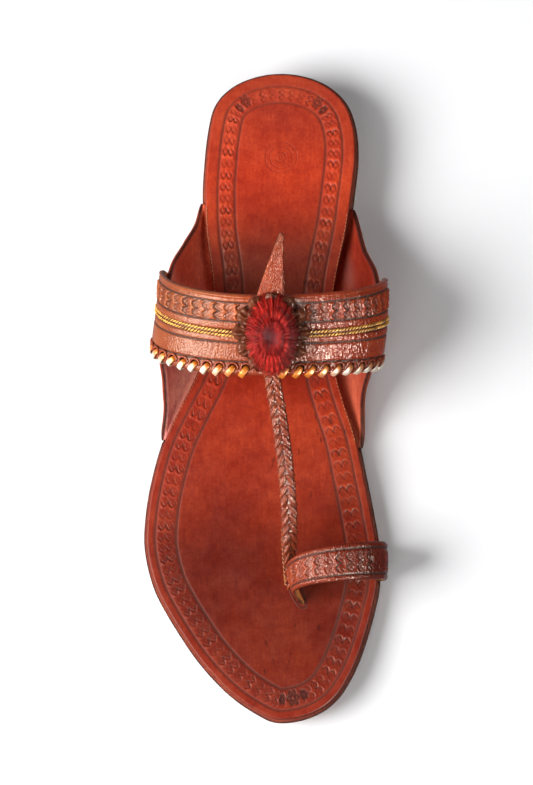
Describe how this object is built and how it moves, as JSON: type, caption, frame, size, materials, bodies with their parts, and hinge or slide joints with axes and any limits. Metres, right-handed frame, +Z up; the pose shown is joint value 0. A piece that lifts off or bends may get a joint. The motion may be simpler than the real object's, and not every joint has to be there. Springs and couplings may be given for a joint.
{
  "type": "kolhapuri sandal",
  "caption": "Flat right-foot leather sandal with a tooled insole, side ears, laced instep band, braided centre strap, big-toe loop, rosette and thread pompom.",
  "frame": {"origin": "on the floor, under the middle of the sandal's bounding box", "axes": "+Z up, +Y towards the heel, +X towards the inner side of the foot"},
  "size_m": [0.094, 0.25, 0.0759],
  "materials": {
    "outsole": "painted stacked leather edge",
    "insole": "dyed and burnished, tooled border",
    "heel": "stacked leather lifts, painted edge",
    "ear": "plain dyed leather, raw edge",
    "strap": "grained, polished, tooled rows",
    "rosette": "scalloped, pleated",
    "thread": "cut threads"
  },
  "bodies": {
    "root": {"outsole": "outsole", "insole": "insole", "heel_lift_1": "heel", "heel_lift_2": "heel", "ear_lateral": "ear", "ear_medial": "ear", "upper": "strap", "tab": "strap", "rosette": "rosette", "pompom": "thread"}
  },
  "joints": []
}
